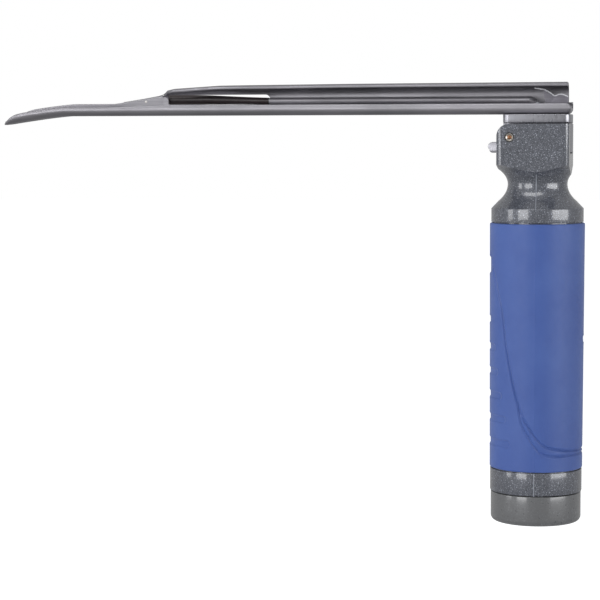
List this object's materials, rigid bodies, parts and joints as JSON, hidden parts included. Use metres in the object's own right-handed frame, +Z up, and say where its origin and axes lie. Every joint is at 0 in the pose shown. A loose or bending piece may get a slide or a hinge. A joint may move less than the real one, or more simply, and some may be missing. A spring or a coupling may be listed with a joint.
{
  "type": "laryngoscope",
  "caption": "Hook-on fibre-lit laryngoscope with a straight channel blade deployed on a waisted, rubber-sleeved battery handle.",
  "frame": {"origin": "centre of the flat underside of the base cap", "axes": "+Z up the handle's axis; -X the way the deployed blade points; -Y the open side of the blade's channel"},
  "size_m": [0.1996, 0.0314, 0.146],
  "materials": {
    "graphite_plastic": "glossy, faint metallic fleck",
    "blue_elastomer": "satin",
    "base_cap_metal": "smooth satin gloss",
    "stainless_steel": "polished",
    "satin_steel": "satin",
    "brass": "polished",
    "cell_wrap": "printed sleeve, left plain",
    "board_green": "solder mask",
    "fibre_glass": "polished ends",
    "guide_jacket": "dark brown epoxy",
    "seal_rubber": "matt"
  },
  "bodies": {
    "handle": {"handle_body": "graphite_plastic", "grip_sleeve": "blue_elastomer", "battery_lower": "cell_wrap", "battery_lower_terminal": "stainless_steel", "battery_upper": "cell_wrap", "battery_upper_terminal": "stainless_steel", "return_strip": "brass", "lamp_board": "board_green", "lamp_spring": "stainless_steel", "lamp_bush": "stainless_steel", "contact_disc": "brass"},
    "plunger": {"lamp_plunger": "brass", "lamp": "fibre_glass"},
    "pin": {"hook_pin": "brass"},
    "blade": {"blade_channel": "satin_steel", "heel_block": "satin_steel", "heel_bracket": "stainless_steel", "detent_spring": "stainless_steel", "heel_rivet_front": "stainless_steel", "heel_rivet_rear": "stainless_steel", "light_inlet": "fibre_glass", "light_guide": "fibre_glass", "light_guide_sheath": "satin_steel", "light_guide_jacket": "guide_jacket", "exit_lens": "fibre_glass"},
    "ball_near": {"detent_ball_near": "stainless_steel"},
    "ball_far": {"detent_ball_far": "stainless_steel"},
    "cap_contacts": {"cap_contact_plate": "brass", "battery_spring": "stainless_steel", "cap_seal": "seal_rubber"},
    "cap": {"base_cap": "base_cap_metal"}
  },
  "joints": [
    {"name": "blade_fold", "type": "hinge", "parent": "handle", "child": "pin", "pos_m": [-0.0084, 0, 0.1279], "axis": [0, -1, 0], "range_deg": [0, 90]},
    {"name": "blade_unhook", "type": "slide", "parent": "pin", "child": "blade", "axis": [1, 0, 0], "range_m": [0, 0.024]},
    {"name": "lamp_rise", "type": "slide", "parent": "handle", "child": "plunger", "axis": [0, 0, 1], "range_m": [0, 0.0015], "deforming": ["lamp_spring"]},
    {"name": "ball_near_press", "type": "slide", "parent": "blade", "child": "ball_near", "axis": [0, 1, 0], "range_m": [0, 0.0003], "stiffness_N_per_m": 500},
    {"name": "ball_far_press", "type": "slide", "parent": "blade", "child": "ball_far", "axis": [0, -1, 0], "range_m": [0, 0.0003], "stiffness_N_per_m": 500},
    {"name": "cap_travel", "type": "slide", "parent": "handle", "child": "cap_contacts", "axis": [0, 0, -1], "range_m": [0, 0.0061]},
    {"name": "cap_turn", "type": "hinge", "parent": "cap_contacts", "child": "cap", "pos_m": [0, 0, 0.005], "axis": [0, 0, -1], "range_deg": [0, 1080]}
  ],
  "couplings": [
    {"joint": "lamp_rise", "follows": "blade_fold", "m_per_rad": 0.00095},
    {"joint": "cap_travel", "follows": "cap_turn", "m_per_rad": 0.00031831}
  ]
}
